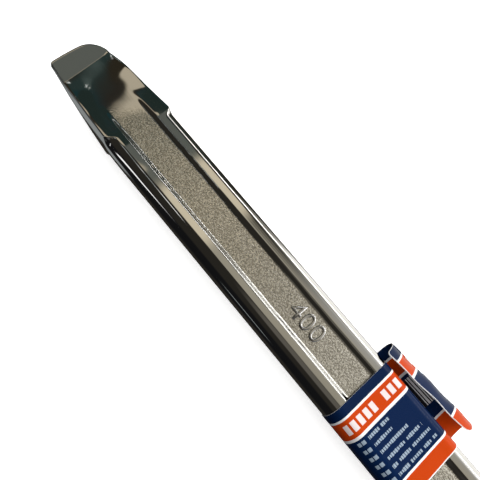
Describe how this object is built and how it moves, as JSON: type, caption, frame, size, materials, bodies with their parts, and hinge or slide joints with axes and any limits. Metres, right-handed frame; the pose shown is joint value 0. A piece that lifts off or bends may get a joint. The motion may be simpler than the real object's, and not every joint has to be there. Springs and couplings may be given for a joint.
{
  "type": "tyre lever",
  "caption": "Drop-forged chrome tyre lever with ribbed I-section shank, upturned spoon blades at its ends, and a paper wrap label with a folding flag.",
  "frame": {"origin": "middle of the forging: mid-length and mid-width of the lever, on its forging parting plane", "axes": "+X along the lever towards the hooked blade with the sharp corner, +Y across the shank away from the label's flag, +Z out of the face that carries the size mark"},
  "size_m": [0.4064, 0.032, 0.0122],
  "materials": {
    "chrome_plate": "polished chrome plate over a forged surface, with shot-textured web floors",
    "label_paper": "glossy printed paper, blue and orange bands with white rules"
  },
  "bodies": {
    "lever": {"lever_forging": "chrome_plate", "label_wrap": "label_paper"},
    "flag": {"label_flag": "label_paper"}
  },
  "joints": [
    {"name": "flag_fold", "type": "hinge", "parent": "lever", "child": "flag", "pos_m": [0.06265, -0.0122, -0.0049], "axis": [1, 0, 0], "range_deg": [-8, 80], "stiffness_Nm_per_rad": 0.002}
  ]
}
